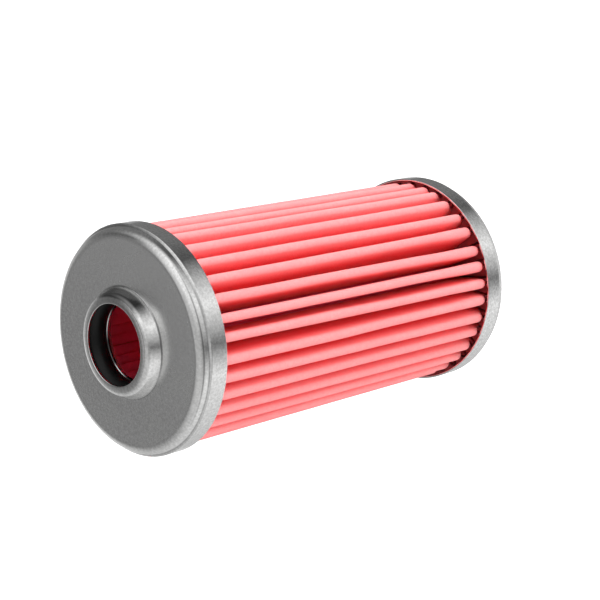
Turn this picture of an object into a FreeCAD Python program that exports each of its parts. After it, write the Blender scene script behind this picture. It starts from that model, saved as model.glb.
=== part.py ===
import FreeCAD, Part
import math
import os
import Sketcher

# Fuel filter element: a replaceable cartridge for a small diesel engine.
#
# The axis is Z. The closed end cap stands on z = 0 and the outlet end cap,
# with its raised hub, is at the top. All lengths are in millimetres.
#
#   outlet_end_cap      drawn sheet-steel cap with the raised outlet hub
#   outlet_seal         rubber ring held inside the hub
#   seal_retainer       stepped washer that holds the rubber ring up in the hub
#   outlet_end_potting  adhesive bed that the paper's top edge is set into
#   pleated_paper       one strip of filter paper, folded into pleats
#   pleat_seam_glue     glue line that closes the strip into a ring
#   closed_end_potting  adhesive bed that the paper's bottom edge is set into
#   closed_end_cap      drawn sheet-steel cap, closed

os.makedirs("parts", exist_ok=True)
doc = FreeCAD.newDocument("fuel_filter")

# ---------------------------------------------------------------- dimensions
SIZES = [
    ("overall_length", 74.0, "base to top of hub"),
    ("cap_radius", 18.5, "outside of the skirt"),
    ("corner_radius", 16.48, "where the flat face ends and its corner begins"),
    ("sheet_thickness", 0.35, "sheet steel of the caps and the retainer"),
    ("skirt_height", 3.05, "skirt edge to the foot of the shoulder"),
    ("cap_height", 4.65, "outlet cap, skirt edge to the flat face"),
    ("closed_cap_height", 5.2, "closed cap, skirt edge to the base"),
    ("closed_skirt_height", 3.6, "closed cap, skirt edge to the foot of the shoulder"),
    ("corner_bend", 1.6, "outside bend between the face and the shoulder"),
    ("corner_tilt", 9.0, "degrees that the corner leans in where it meets the shoulder"),
    ("inside_tilt", 1.6, "the same on the inside of the sheet"),
    ("skirt_inside", 2.84, "skirt edge to the foot of the shoulder, inside"),
    ("hub_lip_radius", 7.43, "outside of the hub's flat lip"),
    ("hub_rise", 2.35, "flat face to top of hub"),
    ("hub_taper", 20.0, "degrees that the hub's wall leans"),
    ("hub_top_bend", 0.8, "outside bend at the top of the hub"),
    ("outlet_radius", 6.5, "hole in the top of the hub"),
    ("outlet_lip", 0.15, "rounding of the hole's top edge"),
    ("seal_bore_radius", 6.15, "rubber's sealing land"),
    ("seal_bore_land", 1.5, "length of the sealing land"),
    ("seal_outer_radius", 8.45, "rubber's outside at its foot"),
    ("seal_top_radius", 7.75, "rubber's outside under the hub's lip"),
    ("seal_crown", 1.1, "rounding either side of the land"),
    ("retainer_floor_drop", 1.35, "underside of the face to the retainer's floor"),
    ("retainer_collar_radius", 6.4, "inside of the retainer's collar"),
    ("retainer_collar_drop", 0.55, "height of the collar"),
    ("retainer_cup_radius", 8.5, "inside of the retainer's cup"),
    ("retainer_flange_radius", 11.5, "outside of the retainer's flange"),
    ("recess_radius", 8.5, "pressed recess in the closed cap"),
    ("recess_depth", 1.0, "depth of the recess"),
    ("pleat_count", 34, "outer folds"),
    ("pleat_outer_radius", 17.8, "over the outer folds"),
    ("pleat_inner_radius", 8.3, "inside the inner folds"),
    ("paper_thickness", 0.5, "filter paper"),
    ("outer_fold_bend", 0.75, "outside bend of an outer fold"),
    ("inner_fold_bend", 0.8, "outside bend of an inner fold"),
    ("paper_end_depth", 2.6, "how far the paper runs inside each skirt edge"),
    ("potting_depth", 1.3, "adhesive's level inside each skirt edge"),
    ("potting_inner_radius", 7.9, "inner edge of the adhesive"),
    ("seam_glue_start", 11.0, "inner end of the seam's glue line"),
    ("seam_glue_end", 17.55, "outer end of the seam's glue line"),
    ("seam_half_inner", 0.08, "half the glue's thickness at its inner end"),
    ("curve_clearance", 0.05, "gap left between curved faces that nest"),
]
sheet = doc.addObject("Spreadsheet::Sheet", "dims")
sheet.set("A1", "size")
sheet.set("B1", "mm")
sheet.set("C1", "what it is")
value = {}
for row, (alias, number, note) in enumerate(SIZES, start=2):
    sheet.set("A%d" % row, alias)
    sheet.set("B%d" % row, str(number))
    sheet.set("C%d" % row, note)
    sheet.setAlias("B%d" % row, alias)
    value[alias] = float(number)
doc.recompute()


class Size:
    """A length together with the sheet expression that it comes from."""

    def __init__(self, number, text):
        self.number = float(number)
        self.text = text

    @staticmethod
    def of(other):
        return other if isinstance(other, Size) else Size(other, repr(float(other)))

    def __add__(self, other):
        other = Size.of(other)
        return Size(self.number + other.number, "(%s + %s)" % (self.text, other.text))

    def __sub__(self, other):
        other = Size.of(other)
        return Size(self.number - other.number, "(%s - %s)" % (self.text, other.text))

    def __mul__(self, other):
        other = Size.of(other)
        return Size(self.number * other.number, "(%s * %s)" % (self.text, other.text))


def dim(alias):
    return Size(value[alias], "dims." + alias)


def turned(function, alias):
    """The sine, cosine or tangent of an angle in the sheet, with its expression."""
    angle = math.radians(value[alias])
    return Size(getattr(math, function)(angle), "%s(dims.%s * 1 deg)" % (function, alias))


def origin_part(body, role):
    for feature in body.Origin.OriginFeatures:
        if feature.Role == role:
            return feature
    raise RuntimeError("no " + role)


def new_body(name):
    body = doc.addObject("PartDesign::Body", name)
    body.Label = name
    return body


def attach(body, name, plane):
    sketch = body.newObject("Sketcher::SketchObject", name)
    sketch.AttachmentSupport = [(origin_part(body, plane), "")]
    sketch.MapMode = "FlatFace"
    return sketch


def arc_through(start, end, radius, side):
    """The arc from start to end with the given radius, turning left (+1) or right (-1)."""
    ax, ay = start
    bx, by = end
    mx, my = (ax + bx) / 2.0, (ay + by) / 2.0
    dx, dy = bx - ax, by - ay
    half = math.hypot(dx, dy) / 2.0
    rise = math.sqrt(max(radius * radius - half * half, 0.0))
    nx, ny = -dy / (2.0 * half), dx / (2.0 * half)
    cx, cy = mx + side * rise * nx, my + side * rise * ny
    first = math.atan2(ay - cy, ax - cx)
    last = math.atan2(by - cy, bx - cx)
    if side < 0:
        first, last = last, first
    if last <= first:
        last += 2.0 * math.pi
    circle = Part.Circle(FreeCAD.Vector(cx, cy, 0), FreeCAD.Vector(0, 0, 1), radius)
    return Part.ArcOfCircle(circle, first, last)


def closed_profile(sketch, corners):
    """Draw a closed profile in the sketch.

    corners is a list of (x, y, bend): the position of each corner, and None for a
    straight edge to the next corner or (radius, side) for an arc to it. Every corner's
    place and every radius is held by a constraint that reads the sheet.
    """
    count = len(corners)
    ends = []
    for index in range(count):
        x, y, bend = corners[index]
        nx, ny, _ = corners[(index + 1) % count]
        start = (Size.of(x).number, Size.of(y).number)
        end = (Size.of(nx).number, Size.of(ny).number)
        if bend is None:
            line = Part.LineSegment(FreeCAD.Vector(start[0], start[1], 0),
                                    FreeCAD.Vector(end[0], end[1], 0))
            ends.append((sketch.addGeometry(line, False), 1, 2))
        else:
            radius, side = bend
            arc = arc_through(start, end, Size.of(radius).number, side)
            number = sketch.addGeometry(arc, False)
            ends.append((number, 1, 2) if side > 0 else (number, 2, 1))
    for index in range(count):
        geo, _, last = ends[index]
        following, first, _ = ends[(index + 1) % count]
        sketch.addConstraint(Sketcher.Constraint("Coincident", geo, last, following, first))
    for index in range(count):
        x, y, bend = corners[index]
        geo, first, _ = ends[index]
        for kind, axis, place in (("DistanceX", -2, Size.of(x)), ("DistanceY", -1, Size.of(y))):
            if abs(place.number) < 1e-9:
                sketch.addConstraint(Sketcher.Constraint("PointOnObject", geo, first, axis))
            else:
                number = sketch.addConstraint(Sketcher.Constraint(kind, geo, first, place.number))
                sketch.setExpression("Constraints[%d]" % number, place.text)
        if bend is not None:
            radius = Size.of(bend[0])
            number = sketch.addConstraint(Sketcher.Constraint("Radius", geo, radius.number))
            sketch.setExpression("Constraints[%d]" % number, radius.text)


def revolved_body(name, corners):
    """A body made by turning one closed profile (radius, height) about Z."""
    body = new_body(name)
    sketch = attach(body, name + "_profile", "XZ_Plane")
    closed_profile(sketch, corners)
    turn = body.newObject("PartDesign::Revolution", name + "_turned")
    turn.Profile = sketch
    turn.ReferenceAxis = (sketch, ["V_Axis"])
    turn.Angle = 360.0
    body.Tip = turn
    doc.recompute()
    return body


LEFT, RIGHT = 1, -1
sheet_t = dim("sheet_thickness")

# ------------------------------------------------------------ outlet end cap
# Heights on this cap are counted from its skirt edge.
base = dim("overall_length") - dim("cap_height") - dim("hub_rise")
face = base + dim("cap_height")
face_under = face - sheet_t
hub_top = face + dim("hub_rise")
hub_under = hub_top - sheet_t
skirt_in = dim("cap_radius") - sheet_t
corner = dim("corner_radius")
corner_bend = dim("corner_bend")
corner_run = corner_bend * turned("cos", "corner_tilt")
corner_fall = corner_bend - corner_bend * turned("sin", "corner_tilt")
inside_bend = corner_bend - sheet_t
inside_run = inside_bend * turned("cos", "inside_tilt")
inside_fall = corner_bend - inside_bend * turned("sin", "inside_tilt")
lip = dim("hub_lip_radius")
top = dim("hub_top_bend")
taper = turned("tan", "hub_taper")
wall_top = hub_top - top + top * turned("sin", "hub_taper")
wall_top_radius = lip + top * turned("cos", "hub_taper")
wall_foot_radius = wall_top_radius + (wall_top - face) * taper
under_top = top - sheet_t
wall_in = hub_top - top + under_top * turned("sin", "hub_taper")
wall_in_radius = lip + under_top * turned("cos", "hub_taper")
foot_in_radius = wall_in_radius + (wall_in - face_under) * taper

outlet_end_cap = revolved_body("outlet_end_cap", [
    (dim("cap_radius"), base, None),
    (dim("cap_radius"), base + dim("skirt_height"), None),
    (corner + corner_run, face - corner_fall, (corner_bend, LEFT)),
    (corner, face, None),
    (wall_foot_radius, face, None),
    (wall_top_radius, wall_top, (top, LEFT)),
    (lip, hub_top, None),
    (dim("outlet_radius") + dim("outlet_lip"), hub_top, (dim("outlet_lip"), LEFT)),
    (dim("outlet_radius"), hub_top - dim("outlet_lip"), None),
    (dim("outlet_radius"), hub_under, None),
    (lip, hub_under, (under_top, RIGHT)),
    (wall_in_radius, wall_in, None),
    (foot_in_radius, face_under, None),
    (corner, face_under, (inside_bend, RIGHT)),
    (corner + inside_run, face - inside_fall, None),
    (skirt_in, base + dim("skirt_inside"), None),
    (skirt_in, base, None),
])

# ------------------------------------------------------------- seal retainer
# A stepped washer: its flange lies against the underside of the cap's face, its
# cup carries the rubber ring, and its collar turns down into the core.
floor_top = face_under - dim("retainer_floor_drop") + sheet_t
floor_under = floor_top - sheet_t
collar = dim("retainer_collar_radius")
collar_end = floor_top - dim("retainer_collar_drop")
cup = dim("retainer_cup_radius")

seal_retainer = revolved_body("seal_retainer", [
    (collar, collar_end, None),
    (collar, floor_under, (sheet_t, RIGHT)),
    (collar + sheet_t, floor_top, None),
    (cup, floor_top, None),
    (cup, face_under - sheet_t, (sheet_t, RIGHT)),
    (cup + sheet_t, face_under, None),
    (dim("retainer_flange_radius"), face_under, None),
    (dim("retainer_flange_radius"), face_under - sheet_t, None),
    (cup + sheet_t, face_under - sheet_t, None),
    (cup + sheet_t, floor_top, (sheet_t, RIGHT)),
    (cup, floor_under, None),
    (collar + sheet_t, floor_under, None),
    (collar + sheet_t, collar_end, None),
])

# --------------------------------------------------------------- outlet seal
# Rubber ring with a short sealing land between two rounded edges.
land = dim("seal_bore_land")
crown = dim("seal_crown")
bore = dim("seal_bore_radius")
seal_mid = (floor_top + hub_under) * 0.5
shy = (hub_under - floor_top - land) * 0.5      # height of each rounded edge
seal_out = dim("seal_outer_radius")
seal_top = dim("seal_top_radius")
top_edge = Size.of(0.33)

outlet_seal = revolved_body("outlet_seal", [
    (bore, seal_mid - land * 0.5, None),
    (bore, seal_mid + land * 0.5, (crown, RIGHT)),
    (bore + shy, hub_under, None),
    (seal_top - top_edge, hub_under, (top_edge, RIGHT)),
    (seal_top, hub_under - top_edge, None),
    (seal_out, face_under + 0.1, None),
    (seal_out, floor_top, None),
    (bore + shy, floor_top, (crown, RIGHT)),
])

# ------------------------------------------------------------- pleated paper
# One pleat is drawn between the middles of two neighbouring inner folds, and
# repeated around the axis.
paper_t = dim("paper_thickness")
paper_bottom = dim("closed_cap_height") - dim("paper_end_depth")
paper_top = base + dim("paper_end_depth")
half_angle = math.pi / value["pleat_count"]
outer_bend = value["outer_fold_bend"]
inner_bend = value["inner_fold_bend"]
thick = value["paper_thickness"]
outer_centre = value["pleat_outer_radius"] - outer_bend
inner_centre = value["pleat_inner_radius"] + inner_bend
icx = inner_centre * math.cos(half_angle)
icy = inner_centre * math.sin(half_angle)
# middle line of the paper: tangent between the outer fold's and the inner fold's arc
mid_outer = outer_bend - thick / 2.0
mid_inner = inner_bend - thick / 2.0
span = math.hypot(icx - outer_centre, icy)
ux, uy = (icx - outer_centre) / span, icy / span
lean = (mid_outer + mid_inner) / span
px, py = uy, -ux
nx = ux * lean + px * math.sqrt(1.0 - lean * lean)
ny = uy * lean + py * math.sqrt(1.0 - lean * lean)


def fold_points(reach):
    """Tangent points of the paper surface that lies reach outside its middle line."""
    outer = (outer_centre + (mid_outer + reach) * nx, (mid_outer + reach) * ny)
    inner = (icx - (mid_inner - reach) * nx, icy - (mid_inner - reach) * ny)
    valley = inner_centre - (mid_inner - reach)
    return outer, inner, (valley * math.cos(half_angle), valley * math.sin(half_angle))


def arc3(first, middle, last):
    return Part.Arc(FreeCAD.Vector(first[0], first[1], 0),
                    FreeCAD.Vector(middle[0], middle[1], 0),
                    FreeCAD.Vector(last[0], last[1], 0))


def on_arc(centre, start, end):
    """The point half way along the short arc from start to end about centre."""
    ax, ay = start[0] - centre[0], start[1] - centre[1]
    bx, by = end[0] - centre[0], end[1] - centre[1]
    radius = math.hypot(ax, ay)
    sx, sy = ax + bx, ay + by
    size = math.hypot(sx, sy)
    return centre[0] + radius * sx / size, centre[1] + radius * sy / size


pleated_paper = new_body("pleated_paper")
pleat = attach(pleated_paper, "one_pleat", "XY_Plane")
ray_up = pleat.addGeometry(Part.LineSegment(
    FreeCAD.Vector(0, 0, 0),
    FreeCAD.Vector(icx, icy, 0)), True)
ray_down = pleat.addGeometry(Part.LineSegment(
    FreeCAD.Vector(0, 0, 0),
    FreeCAD.Vector(icx, -icy, 0)), True)
surfaces = []
for reach in (thick / 2.0, -thick / 2.0):
    outer, inner, valley = fold_points(reach)
    mirror_outer = (outer[0], -outer[1])
    mirror_inner = (inner[0], -inner[1])
    mirror_valley = (valley[0], -valley[1])
    top_point = (outer_centre + mid_outer + reach, 0.0)
    crest = pleat.addGeometry(arc3(mirror_outer, top_point, outer), False)
    leg_up = pleat.addGeometry(Part.LineSegment(
        FreeCAD.Vector(outer[0], outer[1], 0), FreeCAD.Vector(inner[0], inner[1], 0)), False)
    leg_down = pleat.addGeometry(Part.LineSegment(
        FreeCAD.Vector(mirror_outer[0], mirror_outer[1], 0),
        FreeCAD.Vector(mirror_inner[0], mirror_inner[1], 0)), False)
    middle = on_arc((icx, icy), inner, valley)
    bend_up = pleat.addGeometry(arc3(inner, middle, valley), False)
    bend_down = pleat.addGeometry(arc3(mirror_inner, (middle[0], -middle[1]), mirror_valley), False)
    surfaces.append((crest, leg_up, leg_down, bend_up, bend_down, inner, valley))


def end_near(sketch, geo, point):
    """1 or 2: which end of the geometry lies at the point."""
    first = sketch.getPoint(geo, 1)
    return 1 if math.hypot(first.x - point[0], first.y - point[1]) < 1e-6 else 2


for reach, (crest, leg_up, leg_down, bend_up, bend_down, inner, valley) in zip(
        (thick / 2.0, -thick / 2.0), surfaces):
    outer = fold_points(reach)[0]
    pleat.addConstraint(Sketcher.Constraint("Tangent", crest, end_near(pleat, crest, outer), leg_up, 1))
    pleat.addConstraint(Sketcher.Constraint("Tangent", crest,
                                            end_near(pleat, crest, (outer[0], -outer[1])), leg_down, 1))
    pleat.addConstraint(Sketcher.Constraint("Tangent", leg_up, 2, bend_up, end_near(pleat, bend_up, inner)))
    pleat.addConstraint(Sketcher.Constraint("Tangent", leg_down, 2, bend_down,
                                            end_near(pleat, bend_down, (inner[0], -inner[1]))))
    pleat.addConstraint(Sketcher.Constraint("PointOnObject", bend_up, end_near(pleat, bend_up, valley), ray_up))
    pleat.addConstraint(Sketcher.Constraint("PointOnObject", bend_down,
                                            end_near(pleat, bend_down, (valley[0], -valley[1])), ray_down))
    pleat.addConstraint(Sketcher.Constraint("Coincident", bend_up, 3, ray_up, 2))
    pleat.addConstraint(Sketcher.Constraint("Coincident", bend_down, 3, ray_down, 2))
# ends of the unit, on the two rays
outer_set, inner_set = surfaces
for side, (a, b) in ((1, (outer_set[3], inner_set[3])), (-1, (outer_set[4], inner_set[4]))):
    va, vb = outer_set[6], inner_set[6]
    cap_line = pleat.addGeometry(Part.LineSegment(
        FreeCAD.Vector(va[0], side * va[1], 0), FreeCAD.Vector(vb[0], side * vb[1], 0)), False)
    pleat.addConstraint(Sketcher.Constraint("Coincident", cap_line, 1, a, end_near(pleat, a, (va[0], side * va[1]))))
    pleat.addConstraint(Sketcher.Constraint("Coincident", cap_line, 2, b, end_near(pleat, b, (vb[0], side * vb[1]))))
pleat.addConstraint(Sketcher.Constraint("PointOnObject", outer_set[0], 3, -1))
pleat.addConstraint(Sketcher.Constraint("Coincident", outer_set[0], 3, inner_set[0], 3))
for ray in (ray_up, ray_down):
    pleat.addConstraint(Sketcher.Constraint("Coincident", ray, 1, -1, 1))
held = [
    (Sketcher.Constraint("Angle", ray_down, 1, ray_up, 1, 2.0 * half_angle), "360 deg / dims.pleat_count"),
    (Sketcher.Constraint("Distance", ray_up, inner_centre), "dims.pleat_inner_radius + dims.inner_fold_bend"),
    (Sketcher.Constraint("DistanceX", outer_set[0], 3, outer_centre),
     "dims.pleat_outer_radius - dims.outer_fold_bend"),
    (Sketcher.Constraint("Radius", outer_set[0], outer_bend), "dims.outer_fold_bend"),
    (Sketcher.Constraint("Radius", inner_set[0], outer_bend - thick),
     "dims.outer_fold_bend - dims.paper_thickness"),
    (Sketcher.Constraint("Radius", outer_set[3], inner_bend - thick),
     "dims.inner_fold_bend - dims.paper_thickness"),
    (Sketcher.Constraint("Radius", outer_set[4], inner_bend - thick),
     "dims.inner_fold_bend - dims.paper_thickness"),
    (Sketcher.Constraint("Radius", inner_set[3], inner_bend), "dims.inner_fold_bend"),
    (Sketcher.Constraint("Radius", inner_set[4], inner_bend), "dims.inner_fold_bend"),
]
for constraint, text in held:
    number = pleat.addConstraint(constraint)
    pleat.setExpression("Constraints[%d]" % number, text)
# the two rays lie evenly either side of X
pleat.addConstraint(Sketcher.Constraint("Symmetric", ray_up, 2, ray_down, 2, -1))
doc.recompute()
if pleat.solve() != 0:
    raise RuntimeError("the pleat's sketch doesn't solve")

pad = pleated_paper.newObject("PartDesign::Pad", "pleat_length")
pad.Profile = pleat
pad.Length = paper_top.number - paper_bottom.number
pad.setExpression("Length", (paper_top - paper_bottom).text)
pleated_paper.Tip = pad
doc.recompute()
ring = pleated_paper.newObject("PartDesign::PolarPattern", "pleats_around_axis")
ring.Originals = [pad]
ring.Axis = (pleat, ["N_Axis"])
ring.Angle = 360.0
ring.Occurrences = int(value["pleat_count"])
ring.setExpression("Occurrences", "dims.pleat_count")
pleated_paper.Tip = ring
doc.recompute()

# The strip's two ends meet in one outer fold: a slot opens that fold's crest.
slot_half = dim("outer_fold_bend") - paper_t
seam_cut = attach(pleated_paper, "seam_slot", "XY_Plane")
closed_profile(seam_cut, [
    (dim("pleat_outer_radius") - dim("outer_fold_bend"), slot_half * -1.0, None),
    (dim("pleat_outer_radius") + 1.0, slot_half * -1.0, None),
    (dim("pleat_outer_radius") + 1.0, slot_half, None),
    (dim("pleat_outer_radius") - dim("outer_fold_bend"), slot_half, None),
])
before = ring.Shape.Volume
slot = pleated_paper.newObject("PartDesign::Pocket", "seam_opening")
slot.Profile = seam_cut
slot.Type = 1
slot.Reversed = True
pleated_paper.Tip = slot
doc.recompute()
if not slot.Shape.Volume < before - 1.0:
    raise RuntimeError("the seam's slot cuts nothing")
around = FreeCAD.Rotation(FreeCAD.Vector(0, 0, 1), 90.0)
pleated_paper.Placement = FreeCAD.Placement(
    FreeCAD.Vector(0, 0, paper_bottom.number), around)
pleated_paper.setExpression("Placement.Base.z", paper_bottom.text)

# ---------------------------------------------------------- pleat seam glue
pleat_seam_glue = new_body("pleat_seam_glue")
glue_sketch = attach(pleat_seam_glue, "glue_section", "XY_Plane")
inner_half = dim("seam_half_inner")
crest_x = dim("pleat_outer_radius") - dim("outer_fold_bend")
closed_profile(glue_sketch, [
    (dim("seam_glue_start"), inner_half * -1.0, None),
    (crest_x, slot_half * -1.0, None),
    (dim("seam_glue_end"), slot_half * -1.0, None),
    (dim("seam_glue_end"), slot_half, None),
    (crest_x, slot_half, None),
    (dim("seam_glue_start"), inner_half, None),
])
glue_pad = pleat_seam_glue.newObject("PartDesign::Pad", "glue_length")
glue_pad.Profile = glue_sketch
glue_run = base - dim("closed_cap_height") + dim("potting_depth") * 2.0
glue_pad.Length = glue_run.number
glue_pad.setExpression("Length", glue_run.text)
pleat_seam_glue.Tip = glue_pad
glue_start = dim("closed_cap_height") - dim("potting_depth")
pleat_seam_glue.Placement = FreeCAD.Placement(
    FreeCAD.Vector(0, 0, glue_start.number), around)
pleat_seam_glue.setExpression("Placement.Base.z", glue_start.text)

# ------------------------------------------------------------ closed end cap
# Heights on this cap are counted from the base; the skirt points up.
recess = dim("recess_depth")
recess_edge = dim("recess_radius")
mitre = sheet_t * (math.sqrt(2.0) - 1.0)
closed_foot = dim("closed_cap_height") - dim("closed_skirt_height")
closed_foot_in = closed_foot + dim("skirt_height") - dim("skirt_inside")
closed_end_cap = revolved_body("closed_end_cap", [
    (0.0, recess, None),
    (recess_edge, recess, None),
    (recess_edge + recess, 0.0, None),
    (corner, 0.0, (corner_bend, LEFT)),
    (corner + corner_run, corner_fall, None),
    (dim("cap_radius"), closed_foot, None),
    (dim("cap_radius"), dim("closed_cap_height"), None),
    (skirt_in, dim("closed_cap_height"), None),
    (skirt_in, closed_foot_in, None),
    (corner + inside_run, inside_fall, (inside_bend, RIGHT)),
    (corner, sheet_t, None),
    (recess_edge + recess + mitre, sheet_t, None),
    (recess_edge + mitre, recess + sheet_t, None),
    (0.0, recess + sheet_t, None),
])

# ------------------------------------------------------------- potting rings
gap = dim("curve_clearance")
potting_in = dim("potting_inner_radius")
bed_bend = inside_bend - gap
bed_run = bed_bend * turned("cos", "inside_tilt")
bed_fall = bed_bend - bed_bend * turned("sin", "inside_tilt")
waist = corner + inside_run - gap - 0.015
outlet_level = base + dim("potting_depth")
cup_out = cup + sheet_t + gap
outlet_bed = revolved_body("outlet_bed", [
    (potting_in, outlet_level, None),
    (potting_in, floor_under, None),
    (cup_out, floor_under, None),
    (cup_out, face_under - sheet_t, None),
    (dim("retainer_flange_radius"), face_under - sheet_t, None),
    (dim("retainer_flange_radius") + gap, face_under - sheet_t, None),
    (dim("retainer_flange_radius") + gap, face_under, None),
    (corner, face_under, (bed_bend, RIGHT)),
    (corner + bed_run, face_under - bed_fall, None),
    (waist, face - inside_fall - 0.04, None),
    (skirt_in - gap, base + dim("skirt_inside") - 0.04, None),
    (skirt_in - gap, outlet_level, None),
])
closed_level = dim("closed_cap_height") - dim("potting_depth")
closed_bed = revolved_body("closed_bed", [
    (potting_in, closed_level, None),
    (potting_in, recess + sheet_t, None),
    (recess_edge + mitre, recess + sheet_t, None),
    (recess_edge + recess + mitre, sheet_t, None),
    (corner, sheet_t, (bed_bend, LEFT)),
    (corner + bed_run, sheet_t + bed_fall, None),
    (waist, inside_fall + 0.04, None),
    (skirt_in - gap, closed_foot_in + 0.04, None),
    (skirt_in - gap, closed_level, None),
])

# The paper's edges stand in the adhesive, so each bed has the paper's own slot.
outlet_end_potting = doc.addObject("Part::Cut", "outlet_end_potting")
outlet_end_potting.Base = outlet_bed
outlet_end_potting.Tool = pleated_paper
closed_end_potting = doc.addObject("Part::Cut", "closed_end_potting")
closed_end_potting.Base = closed_bed
closed_end_potting.Tool = pleated_paper
doc.recompute()

# -------------------------------------------------------------------- checks
nodes = [outlet_end_cap, outlet_seal, seal_retainer, outlet_end_potting,
         pleated_paper, pleat_seam_glue, closed_end_potting, closed_end_cap]
for node in nodes:
    node.Label = node.Name
for item in doc.Objects:
    if "Invalid" in item.State or "Error" in item.State:
        raise RuntimeError("%s failed: %s" % (item.Name, item.State))
for node in nodes:
    shape = node.Shape
    if shape.isNull() or not shape.isValid() or len(shape.Solids) != 1:
        raise RuntimeError("%s has a bad shape" % node.Label)
    print("%-20s %9.1f mm3  z %.2f to %.2f  faces %d" % (
        node.Label, shape.Volume, shape.BoundBox.ZMin, shape.BoundBox.ZMax, len(shape.Faces)))

for node in nodes:
    node.Shape.exportStep(os.path.join("parts", node.Label + ".step"))
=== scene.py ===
import bpy
import math
import numpy as np
from mathutils import Matrix, Vector

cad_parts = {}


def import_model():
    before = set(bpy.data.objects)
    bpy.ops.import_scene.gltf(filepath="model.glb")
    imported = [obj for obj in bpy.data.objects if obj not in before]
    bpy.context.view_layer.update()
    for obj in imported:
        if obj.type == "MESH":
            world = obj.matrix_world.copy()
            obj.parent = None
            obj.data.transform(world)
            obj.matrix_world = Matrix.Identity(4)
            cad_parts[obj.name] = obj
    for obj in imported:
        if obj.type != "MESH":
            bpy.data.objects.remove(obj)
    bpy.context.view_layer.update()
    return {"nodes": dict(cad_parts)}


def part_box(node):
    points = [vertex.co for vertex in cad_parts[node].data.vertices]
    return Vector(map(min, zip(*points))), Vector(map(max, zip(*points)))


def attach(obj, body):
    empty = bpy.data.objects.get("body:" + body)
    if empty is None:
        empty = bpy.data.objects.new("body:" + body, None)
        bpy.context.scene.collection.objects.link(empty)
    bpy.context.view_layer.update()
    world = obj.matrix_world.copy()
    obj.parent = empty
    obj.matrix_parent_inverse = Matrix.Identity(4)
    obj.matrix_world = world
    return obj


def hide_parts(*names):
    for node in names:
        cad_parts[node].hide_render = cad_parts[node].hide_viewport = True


# Fuel filter element. Metres, +Z up, standing on its closed end cap.
# Lengths in the tables below are in millimetres and are scaled by MM.

MM = 0.001
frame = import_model()
scene = bpy.context.scene

SEAM_ANGLE = 90.0      # the glued pleat, in degrees about Z
PLEATS = 34
PITCH = 360.0 / PLEATS
BASE_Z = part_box("outlet_end_cap")[0].z / MM      # outlet cap's skirt edge
CAP_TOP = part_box("closed_end_cap")[1].z / MM     # closed cap's skirt edge
CAP_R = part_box("outlet_end_cap")[1].x / MM       # 18.5
HUB_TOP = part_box("outlet_end_cap")[1].z / MM     # 73.5


# ---------------------------------------------------------------- mesh helpers
def mesh_object(name, co, quads, smooth=True):
    me = bpy.data.meshes.new(name)
    co = np.asarray(co, np.float64)
    quads = np.asarray(quads, np.int32)
    me.vertices.add(len(co))
    me.vertices.foreach_set("co", (co * MM).astype(np.float32).ravel())
    n, k = quads.shape
    me.loops.add(n * k)
    me.loops.foreach_set("vertex_index", quads.ravel())
    me.polygons.add(n)
    me.polygons.foreach_set("loop_start", np.arange(0, n * k, k, dtype=np.int32))
    me.polygons.foreach_set("loop_total", np.full(n, k, np.int32))
    me.polygons.foreach_set("use_smooth", np.full(n, smooth, bool))
    me.update(calc_edges=True)
    me.validate()
    ob = bpy.data.objects.new(name, me)
    scene.collection.objects.link(ob)
    return ob


class Path:
    """A line in (radius, height), made of straight runs and arcs, in closely spaced points."""

    def __init__(self, r, z):
        self.pts = [(r, z)]

    def line(self, r, z, step=0.6):
        r0, z0 = self.pts[-1]
        n = max(1, int(math.hypot(r - r0, z - z0) / step))
        for i in range(1, n + 1):
            k = i / n
            self.pts.append((r0 + (r - r0) * k, z0 + (z - z0) * k))
        return self

    def arc(self, r, z, radius, side, n=8):
        """Arc to (r, z), turning left (side 1) or right (side -1)."""
        r0, z0 = self.pts[-1]
        mx, mz = (r0 + r) / 2, (z0 + z) / 2
        dx, dz = r - r0, z - z0
        half = math.hypot(dx, dz) / 2
        rise = math.sqrt(max(radius * radius - half * half, 0))
        cx = mx - side * rise * dz / (2 * half)
        cz = mz + side * rise * dx / (2 * half)
        a0 = math.atan2(z0 - cz, r0 - cx)
        a1 = math.atan2(z - cz, r - cx)
        if side > 0 and a1 < a0:
            a1 += 2 * math.pi
        if side < 0 and a1 > a0:
            a1 -= 2 * math.pi
        for i in range(1, n + 1):
            a = a0 + (a1 - a0) * i / n
            self.pts.append((cx + radius * math.cos(a), cz + radius * math.sin(a)))
        return self

    def curve(self, fn, n=10):
        for i in range(1, n + 1):
            self.pts.append(fn(i / n))
        return self


def lathe(name, points, segments, wobble=None, close=True):
    """Turn a closed line of (radius, height) points about Z."""
    pts = np.array(points, float)
    if close and np.hypot(*(pts[0] - pts[-1])) < 1e-6:
        pts = pts[:-1]
    ang = np.linspace(0, 2 * np.pi, segments, endpoint=False)
    r = pts[:, 0][:, None] * np.ones(segments)
    z = pts[:, 1][:, None] * np.ones(segments)
    if wobble is not None:
        r, z = wobble(r, z, ang[None, :])
    co = np.stack([r * np.cos(ang), r * np.sin(ang), z], -1).reshape(-1, 3)
    m = len(pts)
    i = np.arange(m if close else m - 1)
    j = (i + 1) % m
    k = np.arange(segments)
    l = (k + 1) % segments
    quads = np.stack([
        (i[:, None] * segments + k), (i[:, None] * segments + l),
        (j[:, None] * segments + l), (j[:, None] * segments + k)], -1).reshape(-1, 4)
    return mesh_object(name, co, quads)


def waves(ang, z, seed, terms=7, low=2, high=14):
    """A small smooth random field around the axis, about -1 to 1."""
    rnd = np.random.RandomState(seed)
    out = 0
    for _ in range(terms):
        n = rnd.randint(low, high)
        out = out + rnd.uniform(0.3, 1.0) / math.sqrt(n) * np.sin(
            n * ang + rnd.uniform(0, 6.28) + z * rnd.uniform(-0.5, 0.5))
    return out / math.sqrt(terms) * 1.6


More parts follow.
